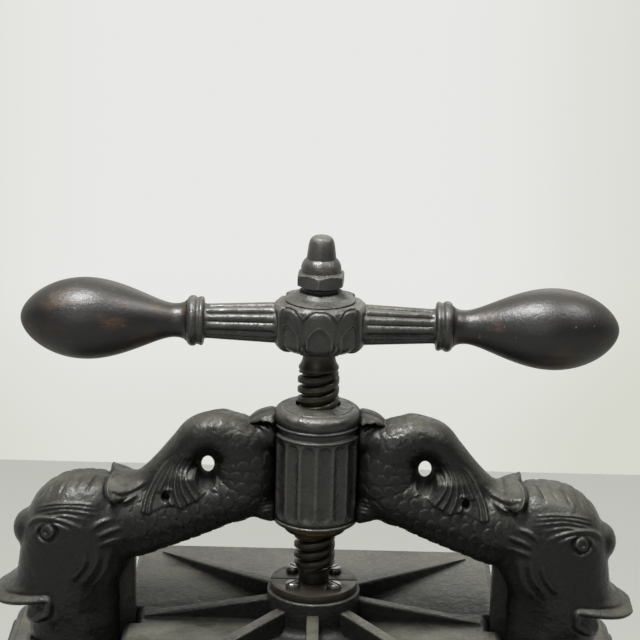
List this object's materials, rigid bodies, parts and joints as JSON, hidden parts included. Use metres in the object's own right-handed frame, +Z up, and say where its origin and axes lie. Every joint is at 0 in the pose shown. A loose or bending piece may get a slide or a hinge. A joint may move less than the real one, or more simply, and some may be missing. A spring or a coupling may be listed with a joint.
{
  "type": "copying press",
  "caption": "Cast-iron screw copying press: a cross handle with bulb grips turns a screw through a boss held by dolphin-shaped legs and drives a ribbed platen onto a moulded bed.",
  "frame": {"origin": "on the surface that the press stands on, under the screw's axis, at the middle of the base", "axes": "+X along the handle and the arch, +Y from front to back, +Z up along the screw"},
  "size_m": [0.407, 0.272, 0.33],
  "materials": {
    "black_cast_iron": "black paint, satin, worn at the edges",
    "worn_steel": "dark, oiled and worn",
    "bright_steel": "turned bright",
    "bronze": "turned, dull",
    "ebonised_wood": "black stain, polished by hands"
  },
  "bodies": {
    "frame": {"base_plate": "black_cast_iron", "base_feet": "black_cast_iron", "dolphin_arch": "black_cast_iron", "arch_bolts": "worn_steel", "arch_bolt_washers": "worn_steel", "screw_nut": "bronze", "nut_lock_screw": "worn_steel"},
    "platen_body": {"platen": "black_cast_iron", "thrust_disc": "bright_steel", "keeper_front": "worn_steel", "keeper_back": "worn_steel", "keeper_screws": "bright_steel"},
    "spindle": {"press_screw": "worn_steel", "handle_bar": "black_cast_iron", "grip_tang_left": "worn_steel", "grip_tang_right": "worn_steel", "grip_left": "ebonised_wood", "grip_right": "ebonised_wood", "handle_washer": "black_cast_iron", "acorn_nut": "black_cast_iron"}
  },
  "joints": [
    {"name": "platen_slide", "type": "slide", "parent": "frame", "child": "platen_body", "axis": [0, 0, 1], "range_m": [-0.02857, 0.02857]},
    {"name": "screw_turn", "type": "hinge", "parent": "platen_body", "child": "spindle", "pos_m": [0, 0, 0.2], "axis": [0, 0, 1], "range_deg": [-810, 810]}
  ],
  "couplings": [
    {"joint": "platen_slide", "follows": "screw_turn", "m_per_rad": 0.0020213}
  ]
}
